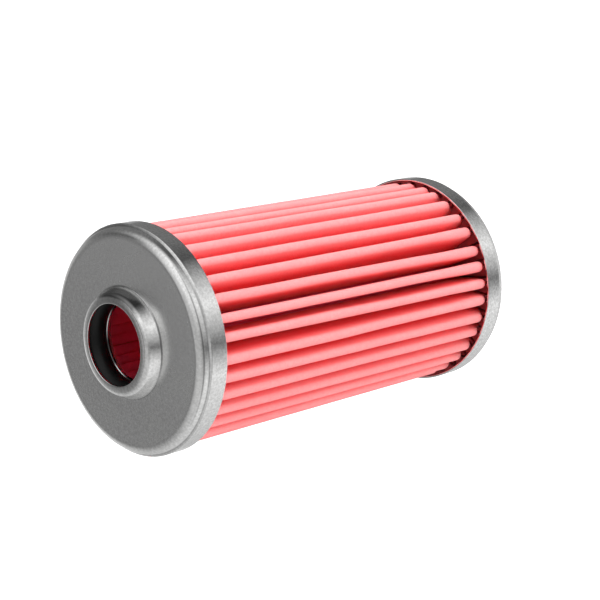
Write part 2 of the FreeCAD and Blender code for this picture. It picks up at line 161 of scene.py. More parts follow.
# ------------------------------------------------------------------ materials
class Nodes:
    def __init__(self, name):
        self.mat = bpy.data.materials.new(name)
        self.mat.use_nodes = True
        self.nt = self.mat.node_tree
        self.nt.nodes.clear()
        self.out = self.add("ShaderNodeOutputMaterial")
        self.bsdf = self.add("ShaderNodeBsdfPrincipled")
        self.link(self.bsdf.outputs[0], self.out.inputs[0])
        self.coord = self.add("ShaderNodeTexCoord").outputs["Object"]

    def add(self, kind, **values):
        node = self.nt.nodes.new(kind)
        for key, v in values.items():
            if hasattr(node, key):
                setattr(node, key, v)
            else:
                node.inputs[key].default_value = v
        return node

    def link(self, a, b):
        self.nt.links.new(a, b)

    def noise(self, scale, detail=3.0, rough=0.55, stretch=None, kind="ShaderNodeTexNoise"):
        node = self.add(kind)
        node.inputs["Scale"].default_value = scale
        if "Detail" in node.inputs:
            node.inputs["Detail"].default_value = detail
        if "Roughness" in node.inputs:
            node.inputs["Roughness"].default_value = rough
        src = self.coord
        if stretch is not None:
            mp = self.add("ShaderNodeMapping")
            mp.inputs["Scale"].default_value = stretch
            self.link(src, mp.inputs["Vector"])
            src = mp.outputs[0]
        self.link(src, node.inputs["Vector"])
        return node.outputs[0]

    def ramp(self, src, stops):
        node = self.add("ShaderNodeValToRGB")
        el = node.color_ramp.elements
        while len(el) > 2:
            el.remove(el[-1])
        for k, (pos, col) in enumerate(stops):
            e = el[k] if k < 2 else el.new(pos)
            e.position = pos
            e.color = (*col, 1) if len(col) == 3 else col
        self.link(src, node.inputs[0])
        return node.outputs[0]

    def maths(self, op, a, b=None, c=None, clamp=False):
        node = self.add("ShaderNodeMath", operation=op)
        node.use_clamp = clamp
        for k, v in enumerate((a, b, c)):
            if v is None:
                continue
            if isinstance(v, (int, float)):
                node.inputs[k].default_value = v
            else:
                self.link(v, node.inputs[k])
        return node.outputs[0]

    def mix(self, fac, a, b, blend="MIX"):
        node = self.add("ShaderNodeMix", data_type="RGBA", blend_type=blend)
        for key, v in ((0, fac), (6, a), (7, b)):
            if isinstance(v, (int, float)):
                node.inputs[key].default_value = v
            elif isinstance(v, (tuple, list)):
                node.inputs[key].default_value = (*v, 1)
            else:
                self.link(v, node.inputs[key])
        return node.outputs[2]

    def bump(self, height, distance, strength=1.0, normal=None):
        node = self.add("ShaderNodeBump")
        node.inputs["Strength"].default_value = strength
        node.inputs["Distance"].default_value = distance
        self.link(height, node.inputs["Height"])
        if normal is not None:
            self.link(normal, node.inputs["Normal"])
        return node.outputs[0]


def plated_steel():
    """Bright tin-plated sheet: fine grain, faint drawing lines, smudges, painted shade lines and a painted highlight.
    """
    n = Nodes("plated_steel")
    sep = n.add("ShaderNodeSeparateXYZ")
    n.link(n.coord, sep.inputs[0])
    x, y, z = sep.outputs
    radius = n.maths("SQRT", n.maths("ADD", n.maths("MULTIPLY", x, x), n.maths("MULTIPLY", y, y)))
    angle = n.maths("ARCTAN2", y, x)
    # fine grain of the rolled sheet, one direction across the whole blank
    grain = n.noise(4200, 3, 0.65, (1.0, 0.2, 1.0))
    speck = n.noise(2300, 2, 0.6)
    smudge = n.noise(150, 4, 0.6)
    cloud = n.noise(45, 3, 0.5)
    ringed = n.add("ShaderNodeCombineXYZ")
    n.link(n.maths("MULTIPLY", angle, 0.006), ringed.inputs[0])
    n.link(radius, ringed.inputs[1])
    n.link(z, ringed.inputs[2])
    lines = n.add("ShaderNodeTexNoise")
    lines.inputs["Scale"].default_value = 3000
    lines.inputs["Detail"].default_value = 3
    n.link(ringed.outputs[0], lines.inputs["Vector"])
    # the flat of the outlet cap keeps the sheet's satin; the drawn walls are burnished by the die
    high = n.maths("MULTIPLY", n.maths("SUBTRACT", z, (BASE_Z + 3.9) * MM), 1 / (0.5 * MM), clamp=True)
    inside = n.maths("MULTIPLY", n.maths("SUBTRACT", 17.7 * MM, radius), 1 / (1.6 * MM), clamp=True)
    beyond = n.maths("MULTIPLY", n.maths("SUBTRACT", radius, 8.95 * MM), 1 / (0.2 * MM), clamp=True)
    flat = n.maths("MULTIPLY", n.maths("MULTIPLY", high, inside), beyond)
    # painted shade in the crease at the hub's foot and in the step of the shoulder, stronger on one side of the hub
    dr = n.maths("DIVIDE", n.maths("SUBTRACT", radius, 8.86 * MM), 0.20 * MM)
    dz = n.maths("DIVIDE", n.maths("SUBTRACT", z, (BASE_Z + 4.70) * MM), 0.20 * MM)
    crease = n.maths("ADD", n.maths("MULTIPLY", dr, dr), n.maths("MULTIPLY", dz, dz))
    crease = n.maths("SUBTRACT", 1.0, crease, clamp=True)
    lee = n.maths("DIVIDE", n.maths("ADD", n.maths("MULTIPLY", angle, 180 / math.pi), 97), 42)
    lee = n.maths("SUBTRACT", 1.0, n.maths("MULTIPLY", lee, lee), clamp=True)
    crease = n.maths("MULTIPLY", crease, n.maths("ADD", n.maths("MULTIPLY", lee, 0.7), 0.6))
    sr = n.maths("DIVIDE", n.maths("SUBTRACT", radius, 18.10 * MM), 0.16 * MM)
    sz = n.maths("DIVIDE", n.maths("SUBTRACT", z, (BASE_Z + 3.28) * MM), 0.14 * MM)
    step = n.maths("SUBTRACT", 1.0, n.maths("ADD", n.maths("MULTIPLY", sr, sr), n.maths("MULTIPLY", sz, sz)), clamp=True)
    painted_shade = n.maths("MAXIMUM", n.maths("MULTIPLY", crease, 0.7), n.maths("MULTIPLY", step, 0.4))
    # two painted dark lines, on the main corner and round the top of the hub: painted shade standing in for dark
    # reflections, each stronger on one side of the cap
    turn = n.maths("MULTIPLY", angle, 180 / math.pi)
    for lr, lz, width, centre, spread, strength in (
            (17.76, BASE_Z + 4.02, 0.13, -100, 46, 0.72), (7.50, HUB_TOP - 0.08, 0.10, -78, 62, 0.60)):
        ar = n.maths("DIVIDE", n.maths("SUBTRACT", radius, lr * MM), width * MM)
        az = n.maths("DIVIDE", n.maths("SUBTRACT", z, lz * MM), width * 1.2 * MM)
        line = n.maths("SUBTRACT", 1.0, n.maths("ADD", n.maths("MULTIPLY", ar, ar), n.maths("MULTIPLY", az, az)), clamp=True)
        side = n.maths("DIVIDE", n.maths("SUBTRACT", turn, centre), spread)
        side = n.maths("SUBTRACT", 1.0, n.maths("MULTIPLY", side, side), clamp=True)
        painted_shade = n.maths("MAXIMUM", painted_shade, n.maths("MULTIPLY", n.maths("MULTIPLY", line, side), strength))
    base = n.mix(n.ramp(speck, [(0.35, (0, 0, 0)), (0.7, (1, 1, 1))]),
                 (0.67, 0.67, 0.665), (0.865, 0.865, 0.86))
    base = n.mix(n.ramp(smudge, [(0.45, (0, 0, 0)), (0.75, (0.3, 0.3, 0.3))]), base, (0.70, 0.695, 0.68))
    # painted dark reflection: a dark band on the upper hub wall over one range of directions around the cap
    painted_dark_band = n.maths("DIVIDE", n.maths("ADD", turn, 27), 41)
    painted_dark_band = n.maths("MULTIPLY", n.maths("SUBTRACT", 1.0, n.maths("MULTIPLY", painted_dark_band, painted_dark_band), clamp=True), 1.6, clamp=True)
    wall = n.maths("MULTIPLY", n.maths("SUBTRACT", z, (BASE_Z + 4.95) * MM), 1 / (0.35 * MM), clamp=True)
    rim = n.maths("MULTIPLY", n.maths("SUBTRACT", radius, 7.45 * MM), 1 / (0.3 * MM), clamp=True)
    painted_dark_band = n.maths("MULTIPLY", n.maths("MULTIPLY", painted_dark_band, wall), rim)
    painted_shade = n.maths("MAXIMUM", painted_shade, n.maths("MULTIPLY", painted_dark_band, 0.92))
    # painted highlight: the flat of the outlet cap is painted paler towards the side the key light comes from
    pale = n.maths("ADD", n.maths("MULTIPLY", x, 0.80 * 0.5 / (15 * MM)), n.maths("MULTIPLY", y, -0.60 * 0.5 / (15 * MM)))
    pale = n.maths("MULTIPLY", n.maths("ADD", pale, 0.30), n.maths("MULTIPLY", flat, 0.9), clamp=True)
    base = n.mix(pale, base, (0.97, 0.97, 0.965))
    # the painted shade darkens the steel to near black
    base = n.mix(n.maths("MULTIPLY", painted_shade, 0.85), base, (0.06, 0.06, 0.06))
    n.link(base, n.bsdf.inputs["Base Color"])
    n.bsdf.inputs["Metallic"].default_value = 1.0
    rough = n.maths("ADD", n.maths("MULTIPLY", smudge, 0.05), n.maths("MULTIPLY", cloud, 0.04))
    rough = n.maths("ADD", rough, n.maths("MULTIPLY", grain, 0.04))
    rough = n.maths("ADD", rough, n.maths("MULTIPLY", flat, 0.15))
    rough = n.maths("ADD", rough, 0.05)
    n.link(rough, n.bsdf.inputs["Roughness"])
    height = n.maths("ADD", n.maths("MULTIPLY", grain, 0.5), n.maths("MULTIPLY", lines.outputs[0], 0.4))
    height = n.maths("ADD", height, n.maths("MULTIPLY", speck, 0.5))
    b1 = n.bump(height, 0.000006, 0.45)
    b2 = n.bump(n.noise(230, 2, 0.5), 0.000020, 0.12, b1)
    n.link(b2, n.bsdf.inputs["Normal"])
    return n.mat


def retainer_steel():
    n = Nodes("retainer_steel")
    speck = n.noise(2400, 3, 0.6)
    smudge = n.noise(220, 4, 0.6)
    # the turned-down edge carries painted highlights in two places around it, a painted reflection; between them it
    # stays dark
    sep = n.add("ShaderNodeSeparateXYZ")
    n.link(n.coord, sep.inputs[0])
    turn = n.maths("MULTIPLY", n.maths("ARCTAN2", sep.outputs[1], sep.outputs[0]), 180 / math.pi)
    painted_glint = None
    for centre, width in ((56, 26), (130, 16)):
        d = n.maths("DIVIDE", n.maths("SUBTRACT", turn, centre), width)
        d = n.maths("SUBTRACT", 1.0, n.maths("MULTIPLY", d, d), clamp=True)
        painted_glint = d if painted_glint is None else n.maths("MAXIMUM", painted_glint, d)
    dull = n.mix(smudge, (0.05, 0.05, 0.05), (0.12, 0.12, 0.115))
    n.link(n.mix(painted_glint, dull, (0.80, 0.80, 0.79)), n.bsdf.inputs["Base Color"])
    n.bsdf.inputs["Metallic"].default_value = 1.0
    n.link(n.maths("ADD", n.maths("MULTIPLY", smudge, 0.2), 0.14), n.bsdf.inputs["Roughness"])
    n.link(n.bump(speck, 0.00001, 0.5), n.bsdf.inputs["Normal"])
    return n.mat


def seal_rubber():
    n = Nodes("seal_rubber")
    fine = n.noise(3200, 4, 0.6)
    bloom = n.noise(190, 4, 0.6)
    n.link(n.mix(n.ramp(bloom, [(0.4, (0, 0, 0)), (0.8, (1, 1, 1))]),
                 (0.0022, 0.0024, 0.0024), (0.0055, 0.0062, 0.006)), n.bsdf.inputs["Base Color"])
    n.link(n.maths("ADD", n.maths("MULTIPLY", bloom, 0.18), 0.30), n.bsdf.inputs["Roughness"])
    n.bsdf.inputs["Specular IOR Level"].default_value = 0.27
    n.link(n.bump(fine, 0.000012, 0.6), n.bsdf.inputs["Normal"])
    return n.mat


def filter_paper():
    """Resin-treated filter paper: felted fibres, slightly mottled."""
    n = Nodes("filter_paper")
    felt = n.noise(1500, 5, 0.7)
    fibre = n.noise(900, 4, 0.62, (1.0, 1.0, 0.35))
    thread = n.add("ShaderNodeTexVoronoi", feature="DISTANCE_TO_EDGE")
    thread.inputs["Scale"].default_value = 1400
    warp = n.add("ShaderNodeVectorMath", operation="ADD")
    small = n.add("ShaderNodeVectorMath", operation="SCALE")
    wn = n.add("ShaderNodeTexNoise")
    wn.inputs["Scale"].default_value = 700
    wn.inputs["Detail"].default_value = 3
    n.link(n.coord, wn.inputs["Vector"])
    n.link(wn.outputs["Color"], small.inputs[0])
    small.inputs["Scale"].default_value = 0.0011
    n.link(n.coord, warp.inputs[0])
    n.link(small.outputs[0], warp.inputs[1])
    n.link(warp.outputs[0], thread.inputs["Vector"])
    mottle = n.noise(240, 4, 0.6)
    cloth = n.noise(60, 3, 0.5)
    base = n.mix(n.ramp(felt, [(0.3, (0, 0, 0)), (0.72, (1, 1, 1))]),
                 (0.945, 0.335, 0.34), (0.975, 0.445, 0.44))
    base = n.mix(n.ramp(mottle, [(0.35, (0, 0, 0)), (0.7, (0.5, 0.5, 0.5))]), base, (0.95, 0.36, 0.37))
    base = n.mix(n.ramp(cloth, [(0.4, (0, 0, 0)), (0.7, (0.3, 0.3, 0.3))]), base, (0.94, 0.32, 0.325))
    # painted shade: deeper in the folds the red is painted darker; the core's side is painted the deepest red
    sep = n.add("ShaderNodeSeparateXYZ")
    n.link(n.coord, sep.inputs[0])
    x, y = sep.outputs[0], sep.outputs[1]
    radius = n.maths("SQRT", n.maths("ADD", n.maths("MULTIPLY", x, x), n.maths("MULTIPLY", y, y)))
    fold_shade = n.maths("DIVIDE", n.maths("SUBTRACT", 17.15 * MM, radius), 2.6 * MM, clamp=True)
    base = n.mix(n.maths("POWER", fold_shade, 0.8), base, (0.985, 0.062, 0.072))
    core = n.maths("DIVIDE", n.maths("SUBTRACT", 10.2 * MM, radius), 0.8 * MM, clamp=True)
    base = n.mix(core, base, (0.98, 0.09, 0.17))
    n.link(base, n.bsdf.inputs["Base Color"])
    n.link(n.maths("ADD", n.maths("MULTIPLY", felt, 0.2), 0.62), n.bsdf.inputs["Roughness"])
    n.bsdf.inputs["Specular IOR Level"].default_value = 0.35
    n.bsdf.inputs["Sheen Weight"].default_value = 0.12
    n.bsdf.inputs["Sheen Roughness"].default_value = 0.5
    height = n.maths("ADD", n.maths("MULTIPLY", felt, 0.6), n.maths("MULTIPLY", fibre, 0.5))
    height = n.maths("ADD", height, n.maths("MULTIPLY", thread.outputs["Distance"], 0.8))
    # the inner folds are pressed flat against one another, so the core reads as one wall
    geo = n.add("ShaderNodeNewGeometry")
    inward = n.add("ShaderNodeCombineXYZ")
    n.link(n.maths("MULTIPLY", n.maths("DIVIDE", x, radius), -1.0), inward.inputs[0])
    n.link(n.maths("MULTIPLY", n.maths("DIVIDE", y, radius), -1.0), inward.inputs[1])
    even = n.add("ShaderNodeMix", data_type="VECTOR")
    facing = n.add("ShaderNodeVectorMath", operation="DOT_PRODUCT")
    n.link(geo.outputs["Normal"], facing.inputs[0])
    n.link(inward.outputs[0], facing.inputs[1])
    facing = n.maths("MULTIPLY", facing.outputs["Value"], 4.0, clamp=True)
    n.link(n.maths("MULTIPLY", n.maths("MULTIPLY", core, 0.9), facing), even.inputs["Factor"])
    vec = [i for i in even.inputs if i.type == "VECTOR" and i.name in ("A", "B")]
    n.link(geo.outputs["Normal"], vec[0])
    n.link(inward.outputs[0], vec[1])
    unit = n.add("ShaderNodeVectorMath", operation="NORMALIZE")
    n.link([o for o in even.outputs if o.type == "VECTOR"][0], unit.inputs[0])
    relief = n.bump(height, 0.00009, 0.7, unit.outputs[0])
    n.link(relief, n.bsdf.inputs["Normal"])
    # light comes through the sheet and leaves it deep red
    glow = n.add("ShaderNodeBsdfTranslucent")
    n.link(n.mix(core, (1.0, 0.085, 0.105), (0.93, 0.23, 0.40)), glow.inputs["Color"])
    n.link(unit.outputs[0], glow.inputs["Normal"])
    both = n.add("ShaderNodeMixShader")
    n.link(n.maths("ADD", n.maths("MULTIPLY", core, 0.22), 0.46), both.inputs[0])
    n.link(n.bsdf.outputs[0], both.inputs[1])
    n.link(glow.outputs[0], both.inputs[2])
    n.link(both.outputs[0], n.out.inputs[0])
    return n.mat


def fibre_fuzz():
    n = Nodes("paper_fibres")
    v = n.noise(900, 2, 0.5)
    n.link(n.mix(v, (0.93, 0.42, 0.42), (0.97, 0.66, 0.64)), n.bsdf.inputs["Base Color"])
    n.bsdf.inputs["Roughness"].default_value = 0.6
    return n.mat


def potting_adhesive():
    n = Nodes("potting_adhesive")
    blotch = n.noise(260, 4, 0.6)
    fine = n.noise(1500, 3, 0.6)
    n.link(n.mix(blotch, (0.26, 0.045, 0.05), (0.42, 0.09, 0.10)), n.bsdf.inputs["Base Color"])
    n.link(n.maths("ADD", n.maths("MULTIPLY", fine, 0.25), 0.3), n.bsdf.inputs["Roughness"])
    n.link(n.bump(blotch, 0.0001, 0.6), n.bsdf.inputs["Normal"])
    return n.mat


def seam_glue():
    n = Nodes("seam_glue")
    blotch = n.noise(320, 4, 0.6)
    n.link(n.mix(blotch, (0.52, 0.11, 0.09), (0.66, 0.20, 0.15)), n.bsdf.inputs["Base Color"])
    n.link(n.maths("ADD", n.maths("MULTIPLY", blotch, 0.25), 0.25), n.bsdf.inputs["Roughness"])
    n.bsdf.inputs["Subsurface Weight"].default_value = 0.2
    n.bsdf.inputs["Subsurface Radius"].default_value = (0.6, 0.35, 0.2)
    n.bsdf.inputs["Subsurface Scale"].default_value = 0.0008
    n.link(n.bump(blotch, 0.00012, 0.7), n.bsdf.inputs["Normal"])
    return n.mat


MAT = {"plated_steel": plated_steel(), "retainer_steel": retainer_steel(), "seal_rubber": seal_rubber(),
       "filter_paper": filter_paper(), "potting_adhesive": potting_adhesive(), "seam_glue": seam_glue()}
FUZZ = fibre_fuzz()


def finish_piece(ob, slot, *nodes, material=None):
    ob.data.materials.clear()
    ob.data.materials.append(material or MAT[slot])
    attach(ob, "root")
    if nodes:
        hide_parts(*nodes)
    return ob


# ------------------------------------------------------------- outlet end cap
def outlet_cap():
    b = BASE_Z
    t = 0.35
    out = Path(CAP_R - 0.09, b)
    out.arc(CAP_R, b + 0.09, 0.09, 1, 4)
    out.line(CAP_R, b + 2.86, 0.3)
    out.arc(CAP_R - 0.15, b + 3.12, 0.22, 1, 6)
    out.line(CAP_R - 0.33, b + 3.21, 0.1)
    out.arc(18.060, b + 3.30, 0.14, -1, 4)
    out.arc(16.48, b + 4.65, 1.6, 1, 36)
    out.line(9.00, b + 4.65, 0.35)
    out.arc(8.80, b + 4.785, 0.21, -1, 6)
    out.line(8.264, b + 6.249, 0.15)
    out.arc(7.45, HUB_TOP - 0.072, 1.055, 1, 18)
    out.curve(lambda k: (7.45 - 0.83 * k, HUB_TOP - 0.10 * (0.85 - 0.83 * k) ** 2), 8)
    out.arc(6.5, HUB_TOP - 0.12, 0.12, 1, 6)
    inner = Path(6.5, HUB_TOP - 0.31)
    inner.arc(6.54, HUB_TOP - 0.35, 0.04, 1, 3)
    inner.line(7.35, HUB_TOP - t - 0.03, 0.4)
    inner.arc(7.853, b + 6.28, 0.52, -1, 6)
    inner.line(8.60, b + 4.30, 0.3)
    inner.line(16.48, b + 4.30, 0.8)
    inner.arc(17.7295, b + 3.085, 1.25, -1, 10)
    inner.line(CAP_R - t, b + 2.83, 0.2)
    inner.line(CAP_R - t, b + 0.08, 0.4)
    inner.arc(CAP_R - t + 0.08, b, 0.08, 1, 3)
    pts = out.pts + inner.pts

    def wobble(r, z, ang):
        # sheet pressed in a die: a few hundredths out of true, and never outside its nominal size
        skirt = np.clip((r - 17.2) / 1.0, 0, 1) * np.clip((b + 3.6 - z) / 1.0, 0, 1)
        out_of_round = -0.018 * (1 + waves(ang, 0.0, 11, 5, 2, 7)) - 0.010 * (1 + waves(ang, z * 1.2, 12, 6, 9, 24))
        r = r + out_of_round * skirt
        face = np.clip((r - 9.5) / 2.0, 0, 1) * np.clip((z - b - 4.0) / 0.3, 0, 1)
        z = z + 0.012 * waves(ang, r * 0.35, 13, 7, 1, 6) * face
        corner = np.clip((r - 16.6) / 0.8, 0, 1) * np.clip((z - b - 3.2) / 0.3, 0, 1)
        r = r - 0.008 * (1 + waves(ang, z, 14, 8, 9, 30)) * corner
        return r, z

    return lathe("outlet_end_cap_shell", pts, 720, wobble)


def closed_cap():
    t = 0.35
    out = Path(0.0001, 1.0)
    out.line(7.9, 1.0, 0.6)
    out.arc(8.62, 0.70, 1.0, -1, 6)
    out.line(9.2, 0.16, 0.2)
    out.arc(9.75, 0.0, 0.8, 1, 5)
    out.line(16.48, 0.0, 0.5)
    out.arc(18.060, 1.35, 1.6, 1, 30)
    out.arc(CAP_R - 0.33, 1.44, 0.14, -1, 4)
    out.line(CAP_R - 0.30, 1.65, 0.1)
    out.arc(CAP_R, 2.25, 0.75, 1, 16)
    out.line(CAP_R, CAP_TOP - 0.09, 0.3)
    out.arc(CAP_R - 0.09, CAP_TOP, 0.09, 1, 4)
    inner = Path(CAP_R - t + 0.09, CAP_TOP)
    inner.arc(CAP_R - t, CAP_TOP - 0.09, 0.09, 1, 3)
    inner.line(CAP_R - t, 1.83, 0.4)
    inner.line(17.7295, 1.565, 0.2)
    inner.arc(16.48, t, 1.25, -1, 10)
    inner.line(9.8, t, 0.8)
    inner.line(8.75, 1.2, 0.3)
    inner.line(8.1, 1.35, 0.3)
    inner.line(0.0001, 1.35, 0.8)

    def wobble(r, z, ang):
        skirt = np.clip((r - 17.2) / 1.0, 0, 1) * np.clip((z - 1.2) / 1.0, 0, 1)
        r = r + skirt * (-0.018 * (1 + waves(ang, 0.0, 21, 5, 2, 7)) - 0.012 * (1 + waves(ang, z * 1.2, 22, 6, 9, 24)))
        corner = np.clip((r - 16.6) / 0.8, 0, 1) * np.clip((1.3 - z) / 0.4, 0, 1)
        r = r - 0.010 * (1 + waves(ang, z, 24, 8, 12, 40)) * corner
        return r, z

    return lathe("closed_end_cap_shell", out.pts + inner.pts, 640, wobble)


def seal():
    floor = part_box("outlet_seal")[0].z / MM
    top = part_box("outlet_seal")[1].z / MM
    neck = floor + 1.05
    bulge = lambda z: 6.15 + 1.6 * ((z - neck) / 2.3) ** 2
    p = Path(bulge(floor), floor)
    p.curve(lambda k: (min(bulge(floor + (top - floor) * k), 7.42), floor + (top - floor) * k), 40)
    p.line(7.42, top, 0.3)
    p.arc(7.75, top - 0.33, 0.33, -1, 6)
    p.line(8.45, BASE_Z + 4.75, 0.3)
    p.line(8.45, floor, 0.4)
    p.line(7.2, floor, 0.4)

    def wobble(r, z, ang):
        lip = np.clip((7.4 - r) / 1.0, 0, 1)
        return r + 0.012 * waves(ang, z, 31, 6, 2, 11) * lip, z

    return lathe("outlet_seal_ring", p.pts, 256, wobble)


def retainer():
    b = BASE_Z
    t = 0.35
    p = Path(6.40, b + 2.80)
    p.line(6.40, b + 2.95, 0.2)
    p.arc(6.75, b + 3.30, 0.35, -1, 8)
    p.line(8.35, b + 3.30, 0.3)
    p.line(8.5, b + 3.5, 0.1)
    p.line(8.5, b + 3.95, 0.2)
    p.arc(8.85, b + 4.30, 0.35, -1, 5)
    p.line(11.5, b + 4.30, 0.5)
    p.line(11.5, b + 3.95, 0.2)
    p.line(8.85, b + 3.95, 0.5)
    p.line(8.85, b + 3.3, 0.2)
    p.arc(8.5, b + 2.95, 0.35, -1, 5)
    p.line(6.82, b + 2.95, 0.3)
    p.line(6.75, b + 2.88, 0.1)
    p.line(6.75, b + 2.80, 0.2)
    p.arc(6.70, b + 2.75, 0.05, -1, 3)
    p.line(6.45, b + 2.75, 0.1)
    p.arc(6.40, b + 2.80, 0.05, -1, 3)
    return lathe("seal_retainer_ring", p.pts, 256)


# -------------------------------------------------------------- pleated paper
PAPER_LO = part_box("pleated_paper")[0].z / MM
PAPER_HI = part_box("pleated_paper")[1].z / MM
SHEET = 0.5            # thickness
RO, RI = 17.8, 8.3     # over the outer folds, inside the inner folds
# Real folds stray a degree or two from even spacing. Directions of pleats 11 to 22, in degrees
# about Z, close to the outlet cap and close to the closed cap.
STRAY_TOP = [208.0, 218.5, 228.8, 239.0, 249.0, 260.5, 270.5, 281.0, 291.8, 302.5, 313.5, 324.5]
STRAY_LOW = [206.0, 216.2, 227.2, 237.0, 248.0, 258.2, 268.5, 278.5, 290.5, 300.8, 312.5, 322.8]


def pleat_tables():
    """Where each outer and inner fold runs: angle, radius and bend at every height."""
    rnd = np.random.RandomState(5)
    zs = np.concatenate([
        np.linspace(PAPER_LO, CAP_TOP - 0.4, 5, endpoint=False),
        np.linspace(CAP_TOP - 0.4, CAP_TOP + 1.5, 20, endpoint=False),
        np.linspace(CAP_TOP + 1.5, CAP_TOP + 4.5, 8, endpoint=False),
        np.linspace(CAP_TOP + 4.5, BASE_Z - 4.0, 56, endpoint=False),
        np.linspace(BASE_Z - 4.0, BASE_Z, 12, endpoint=False),
        np.linspace(BASE_Z, PAPER_HI, 5)])
    nz = len(zs)
    up = (zs - CAP_TOP) / (BASE_Z - CAP_TOP)            # 0 at the closed cap, 1 at the outlet cap
    twist = np.radians(2.0) * (up - 0.93)
    mid = np.sin(np.clip(up, 0, 1) * np.pi)
    # how far each end is drawn in where the caps and the adhesive hold it
    low_end = np.clip((CAP_TOP + 0.60 - zs) / 1.35, 0, 1)
    blunt = 1 - np.sqrt(np.clip(1 - low_end ** 2, 0, 1))
    top_end = np.clip((zs - BASE_Z + 1.6) / 2.0, 0, 1)
    along = (zs - (CAP_TOP + 6.3)) / (BASE_Z - CAP_TOP - 17.4)

    def soft(k, scale):
        out = np.zeros(nz)
        for f in (1, 2, 3, 5):
            out += rnd.normal() / f ** 0.8 * np.sin(np.pi * f * up + rnd.uniform(0, 6.28))
        return out * scale

    outer, inner = [], []
    for k in range(PLEATS):
        a = np.radians(SEAM_ANGLE + k * PITCH)
        stray = np.radians(rnd.normal(0, 0.5))
        line = a + stray + twist
        if 11 <= k <= 22:
            line = np.radians(STRAY_LOW[k - 11] + (STRAY_TOP[k - 11] - STRAY_LOW[k - 11]) * along)
        ang = line + soft(k, np.radians(0.16)) * (0.35 + 0.65 * mid)
        rad = RO - 0.75 - abs(rnd.normal(0, 0.05)) - 0.04 - np.abs(soft(k, 0.03)) * mid
        rad = rad - (1.15 + rnd.uniform(-0.1, 0.35)) * blunt - 0.35 * top_end ** 1.5
        bend = 0.76 + rnd.normal(0, 0.03) + soft(k, 0.025) + rnd.uniform(0.0, 0.16) * np.clip((CAP_TOP + 9 - zs) / 7, 0, 1)
        bend = np.clip(bend, 0.64, 0.96) * (1 - 0.30 * low_end ** 2.5)
        outer.append((ang, rad + (0.75 - bend), bend))
    for k in range(PLEATS):
        here, there = outer[k][0], outer[(k + 1) % PLEATS][0]
        gap = (there - here + np.pi) % (2 * np.pi) - np.pi
        ang2 = here + gap * 0.5 + np.radians(rnd.normal(0, 0.05)) + soft(k, np.radians(0.03))
        rad2 = RI + 0.80 + abs(rnd.normal(0, 0.04)) + 0 * zs
        inner.append((ang2, rad2, 0.815 + rnd.normal(0, 0.006) + 0 * zs))
    return zs, outer, inner


def circle_tangent(co, ro, ci, ri, sign):
    """Tangent points of the line that touches circle co on one side and circle ci on the other."""
    d = ci - co
    span = np.hypot(d[..., 0], d[..., 1])
    u = d / span[..., None]
    lean = np.clip((ro + ri) / span, -0.99, 0.99)
    p = np.stack([-u[..., 1], u[..., 0]], -1) * sign
    n = u * lean[..., None] + p * np.sqrt(1 - lean ** 2)[..., None]
    return n


def sweep(centre, radius, n0, n1, steps, sign):
    """Points on an arc about centre from direction n0 to direction n1, turning by sign."""
    a0 = np.arctan2(n0[..., 1], n0[..., 0])
    a1 = np.arctan2(n1[..., 1], n1[..., 0])
    turn = (a1 - a0) * sign % (2 * np.pi)
    out = []
    for i in range(steps):
        a = a0 + sign * turn * i / (steps - 1)
        out.append(centre + radius[..., None] * np.stack([np.cos(a), np.sin(a)], -1))
    return out


def paper():
    zs, outer, inner = pleat_tables()
    nz = len(zs)
    rnd = np.random.RandomState(9)
    xy = lambda ang, rad: np.stack([rad * np.cos(ang), rad * np.sin(ang)], -1)
    sides = {}
    CREST, LEG, VALLEY = 13, 9, 7
    loops = {}
    bow = [(rnd.normal(0, 0.10), rnd.normal(0, 0.10), rnd.uniform(0, 6.28), rnd.uniform(0, 6.28)) for _ in range(PLEATS)]
    up = (zs - PAPER_LO) / (PAPER_HI - PAPER_LO)
    for surface, reach in (("out", SHEET / 2), ("in", -SHEET / 2)):
        pts = []
        for k in range(PLEATS):
            ao, ro, bo = outer[k]
            co = xy(ao, ro)
            mo = bo - SHEET / 2
            before = inner[(k - 1) % PLEATS]
            after = inner[k]
            cb, ca = xy(before[0], before[1]), xy(after[0], after[1])
            mb, ma = before[2] - SHEET / 2, after[2] - SHEET / 2
            nb = circle_tangent(co, mo, cb, mb, 1)     # leg on the side of the fold before
            na = circle_tangent(co, mo, ca, ma, -1)
            # make sure that each normal points away from this fold's own middle line
            # which side of this fold's middle line each leg normal lies on; the normal is kept as it is
            mid = xy(ao, ro - 4.0)
            side_b = np.sign(((cb - mid) * nb).sum(-1))[:, None]
            nb = nb * np.where(side_b == 0, 1, 1)
            leg_b0, leg_b1 = co + (mo + reach)[:, None] * nb, cb - (mb - reach)[:, None] * nb
            leg_a0, leg_a1 = co + (mo + reach)[:, None] * na, ca - (ma - reach)[:, None] * na
            row = []
            amp1, amp2, ph1, ph2 = bow[k]
            for i in range(LEG):                       # up the leg from the fold before
                s = i / (LEG - 1)
                swell = math.sin(math.pi * s) * (amp1 * np.sin(up * 5.0 + ph1) * 0.9)
                row.append(leg_b1 + (leg_b0 - leg_b1) * s + swell[:, None] * nb)
            row += sweep(co, mo + reach, nb, na, CREST, 1)[1:-1]
            for i in range(LEG):
                s = i / (LEG - 1)
                swell = math.sin(math.pi * s) * (amp2 * np.sin(up * 5.0 + ph2) * 0.9)
                row.append(leg_a0 + (leg_a1 - leg_a0) * s + swell[:, None] * na)
            pts.append((row, na, k))
        full = []
        for k in range(PLEATS):
            row, na, _ = pts[k]
            full += row
            nxt = outer[(k + 1) % PLEATS]
            ca = xy(inner[k][0], inner[k][1])
            ma = inner[k][2] - SHEET / 2
            co2 = xy(nxt[0], nxt[1])
            nb2 = circle_tangent(co2, nxt[2] - SHEET / 2, ca, ma, 1)
            full += sweep(ca, ma - reach, -na, -nb2, VALLEY, -1)[1:-1]
        loops[surface] = np.stack(full, 1)             # nz, n, 2
    return zs, loops, (CREST, LEG, VALLEY)


